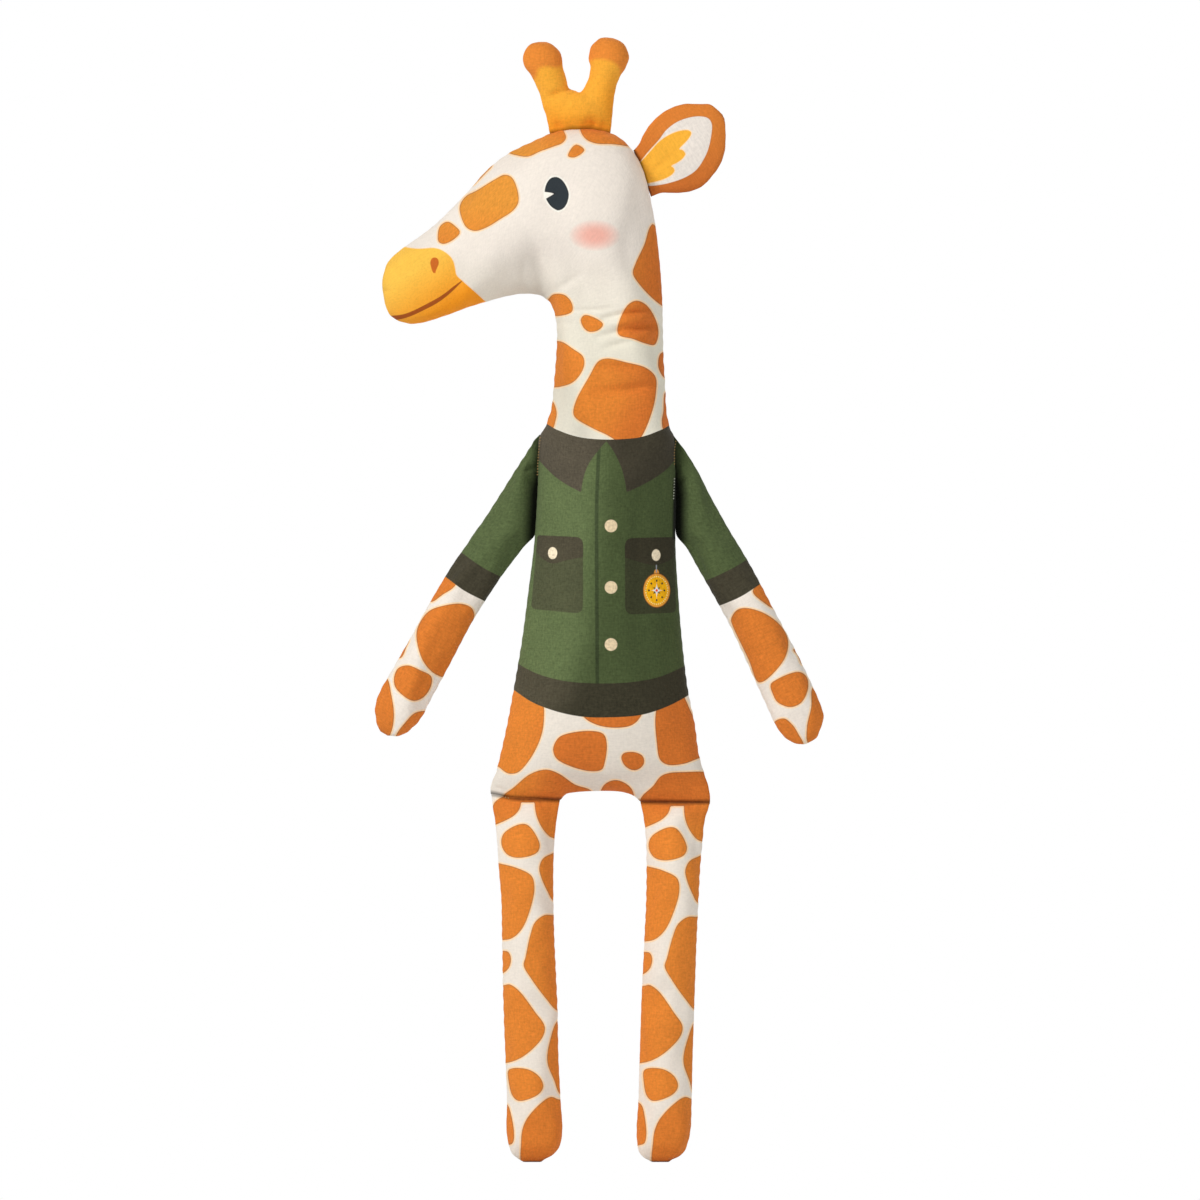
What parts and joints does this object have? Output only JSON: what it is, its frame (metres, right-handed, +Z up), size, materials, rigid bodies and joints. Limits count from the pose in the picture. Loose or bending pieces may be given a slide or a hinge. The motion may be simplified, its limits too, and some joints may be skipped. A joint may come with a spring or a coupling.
{
  "type": "plush giraffe",
  "caption": "Stuffed cloth giraffe in a printed jacket, standing, with its head in profile and its arms, legs, ear and horns sewn on at seams that bend.",
  "frame": {"origin": "on the floor, at the middle of the overall box, midway between the soles", "axes": "+Z up, -Y out of the printed front, -X towards the nose; the seam lies in the plane Y = 0"},
  "size_m": [0.2699, 0.0644, 0.6745],
  "materials": {
    "jacket_cloth": "matt cotton cloth printed with a green jacket over cream",
    "patched_cloth": "matt cotton cloth, cream, printed with orange patches",
    "horn_cloth": "matt cotton cloth printed amber with brown-orange knobs",
    "ear_cloth": "matt cotton cloth printed orange with a cream inside"
  },
  "bodies": {
    "body": {"torso": "jacket_cloth", "neck": "patched_cloth", "head": "patched_cloth"},
    "horns": {"horns": "horn_cloth"},
    "ear": {"ear": "ear_cloth"},
    "arm_right": {"arm_right": "jacket_cloth"},
    "arm_left": {"arm_left": "jacket_cloth"},
    "leg_right": {"leg_right": "patched_cloth"},
    "leg_left": {"leg_left": "patched_cloth"}
  },
  "joints": [
    {"name": "hip_right", "type": "hinge", "parent": "body", "child": "leg_right", "pos_m": [-0.04466, 0, 0.2181], "axis": [1, 0, 0], "range_deg": [-90, 90]},
    {"name": "hip_left", "type": "hinge", "parent": "body", "child": "leg_left", "pos_m": [0.04466, 0, 0.2181], "axis": [1, 0, 0], "range_deg": [-90, 90]},
    {"name": "shoulder_right", "type": "hinge", "parent": "body", "child": "arm_right", "pos_m": [-0.04032, 0, 0.37242], "axis": [0.0446, 0, 0.999], "range_deg": [-65, 65]},
    {"name": "shoulder_left", "type": "hinge", "parent": "body", "child": "arm_left", "pos_m": [0.04624, 0, 0.37242], "axis": [0.0123, 0, -0.9999], "range_deg": [-65, 65]},
    {"name": "ear_fold", "type": "hinge", "parent": "body", "child": "ear", "pos_m": [0.0271, 0, 0.59268], "axis": [0.3552, 0, -0.9348], "range_deg": [-40, 40], "stiffness_Nm_per_rad": 0.01},
    {"name": "horns_tilt", "type": "hinge", "parent": "body", "child": "horns", "pos_m": [-0.01205, 0, 0.6206], "axis": [1, 0, 0], "range_deg": [-25, 25], "stiffness_Nm_per_rad": 0.02}
  ]
}
